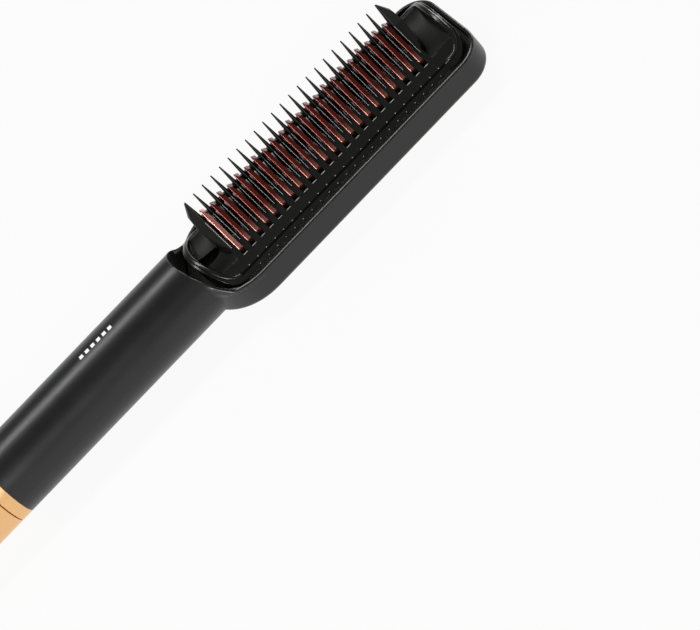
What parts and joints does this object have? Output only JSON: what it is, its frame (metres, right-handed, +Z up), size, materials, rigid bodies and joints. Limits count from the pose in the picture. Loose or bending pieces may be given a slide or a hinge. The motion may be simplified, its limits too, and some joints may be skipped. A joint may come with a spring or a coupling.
{
  "type": "heated beard straightener comb",
  "caption": "Hand-held heated comb with a round handle, tail dial, open head with hot fins between guard plates, and a framed back panel.",
  "frame": {"origin": "middle of the bounding box in X and Y, at the height of the lowest point of the handle, which lies on the table", "axes": "+X from the tail dial along the handle to the far end of the head, +Z up out of the tooth side, +Y to the left when looking along +X"},
  "size_m": [0.2782, 0.0474, 0.0451],
  "materials": {
    "shell": "fine satin",
    "gold_satin": "satin gold coating",
    "inner_plastic": "moulded",
    "contacts": "stamped",
    "board": "solder mask",
    "steel": "wire",
    "gland": "matt",
    "cover": "half gloss",
    "copper_coat": "copper coloured coating",
    "heater_stone": "pressed",
    "contacts_tin": "sheet",
    "film": "film",
    "film_light": "mica sheet",
    "sensor": "dipped",
    "lead_red": "sleeve",
    "lead_blue": "sleeve",
    "chip": "moulded",
    "capacitor": "sleeve",
    "led": "moulded",
    "light_window": "clear white",
    "gold_bright": "bright gold coating",
    "panel": "high gloss"
  },
  "bodies": {
    "comb_body": {"front_shell": "shell", "rear_shell": "shell", "collar_ring": "gold_satin", "tail_spindle": "inner_plastic", "switch_board": "board", "detent_carrier": "inner_plastic", "detent_spring": "steel", "detent_ball": "steel", "contact_brushes": "contacts", "comb_cover": "cover", "guard_plates": "cover", "heating_comb": "copper_coat", "ptc_heaters": "heater_stone", "electrodes": "contacts_tin", "insulating_films": "film", "pressure_plate": "contacts_tin", "heater_screws": "steel", "heat_shield": "film_light", "thermistor": "sensor", "thermal_fuse": "heater_stone", "heater_leads": "lead_red", "mains_leads": "lead_blue", "control_board": "board", "triac": "chip", "capacitor": "capacitor", "indicator_leds": "led", "light_guide": "light_window", "cover_screws": "steel", "badge_frame": "gold_bright", "back_panel": "panel"},
    "dial": {"temperature_dial": "gold_satin", "dial_drum": "inner_plastic", "contact_wiper": "contacts"},
    "cord_swivel": {"swivel_gland": "gland", "swivel_retainer": "steel", "slip_rings": "contacts"}
  },
  "joints": [
    {"name": "dial_turn", "type": "hinge", "parent": "comb_body", "child": "dial", "pos_m": [-0.12, 0, 0.015], "axis": [1, 0, 0], "range_deg": [0, 180]},
    {"name": "cord_swivel_turn", "type": "hinge", "parent": "comb_body", "child": "cord_swivel", "pos_m": [-0.126, 0, 0.015], "axis": [1, 0, 0], "continuous": true}
  ]
}
